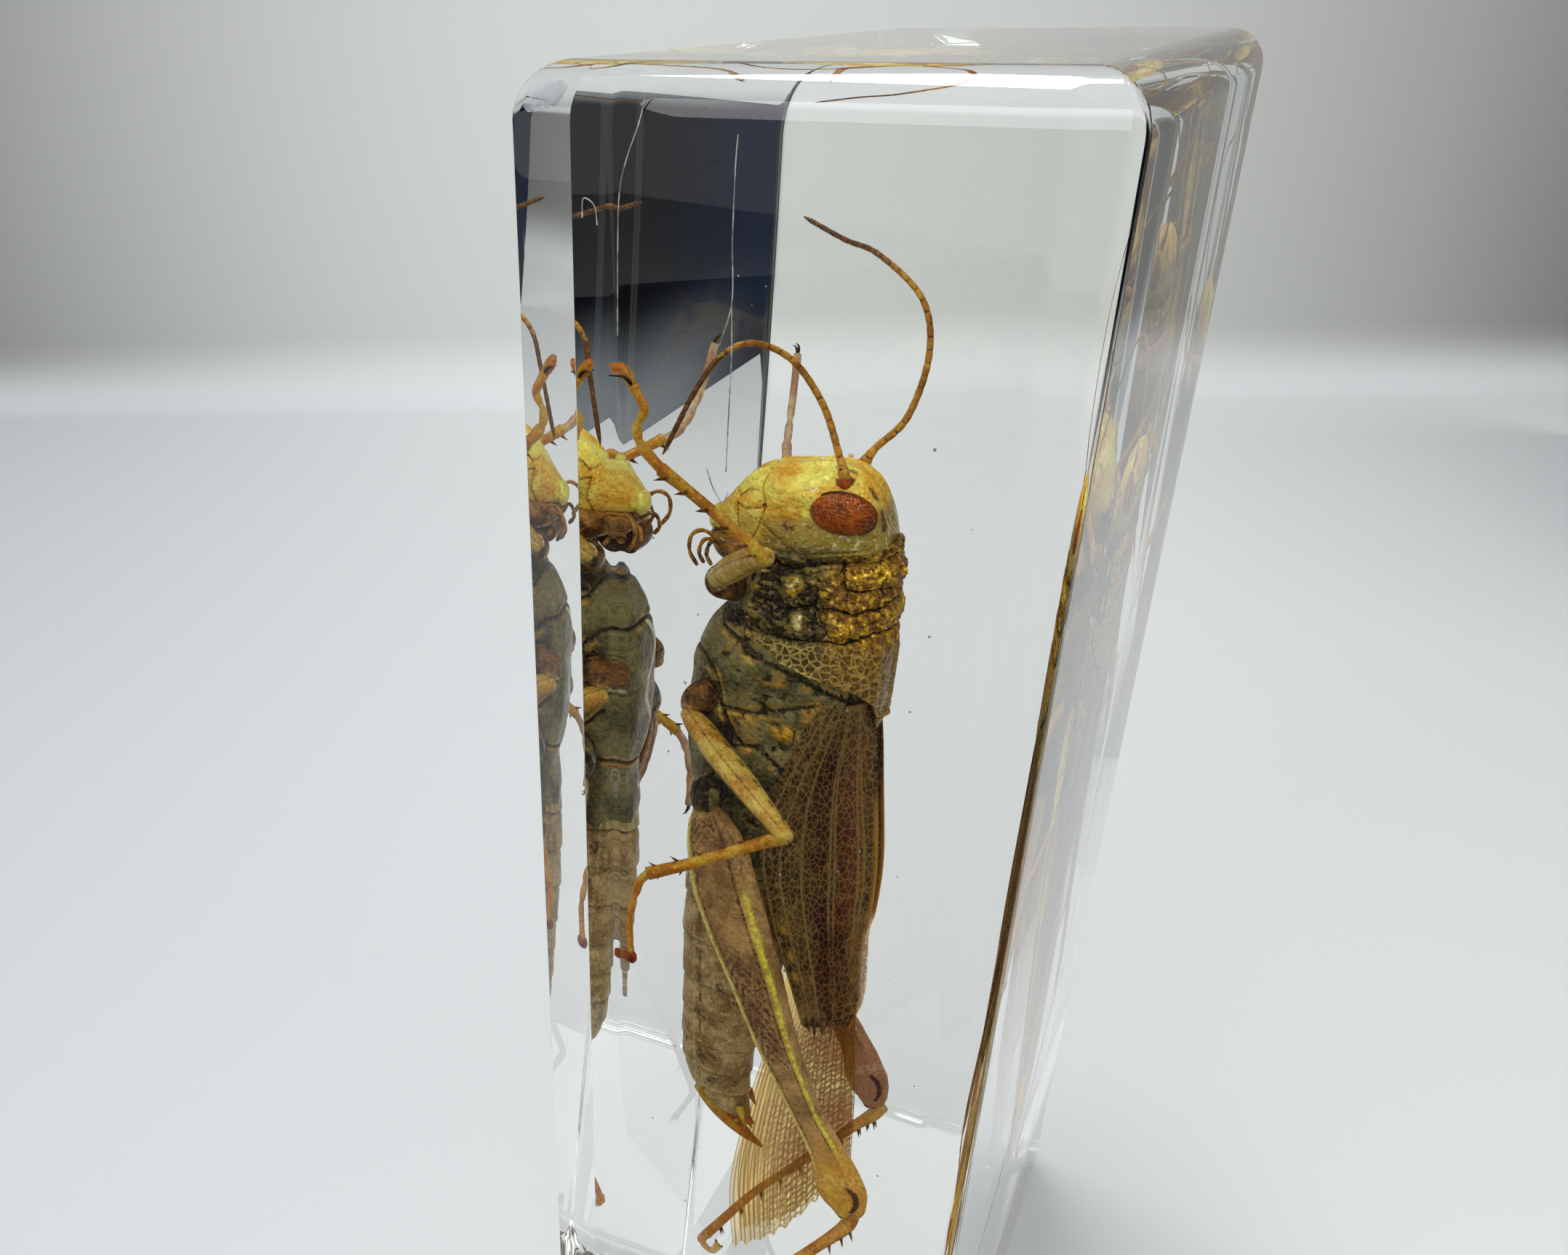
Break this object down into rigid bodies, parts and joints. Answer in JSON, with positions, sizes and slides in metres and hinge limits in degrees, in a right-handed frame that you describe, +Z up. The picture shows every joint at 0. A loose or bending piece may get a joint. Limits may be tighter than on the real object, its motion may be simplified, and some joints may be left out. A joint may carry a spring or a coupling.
{
  "type": "insect in resin block",
  "caption": "Slim upright block of clear resin with a dried grasshopper cast inside, polished faces and ground edges.",
  "frame": {"origin": "centre of the block's underside, on the surface it stands on", "axes": "+Z up the block's length towards the insect's head; +X across the thickness towards the insect's back; +Y through the width, away from the side that shows the insect's left"},
  "size_m": [0.02, 0.04, 0.08],
  "materials": {
    "clear_resin": "polished clear casting resin"
  },
  "bodies": {
    "root": {"resin_block": "clear_resin"}
  },
  "joints": []
}
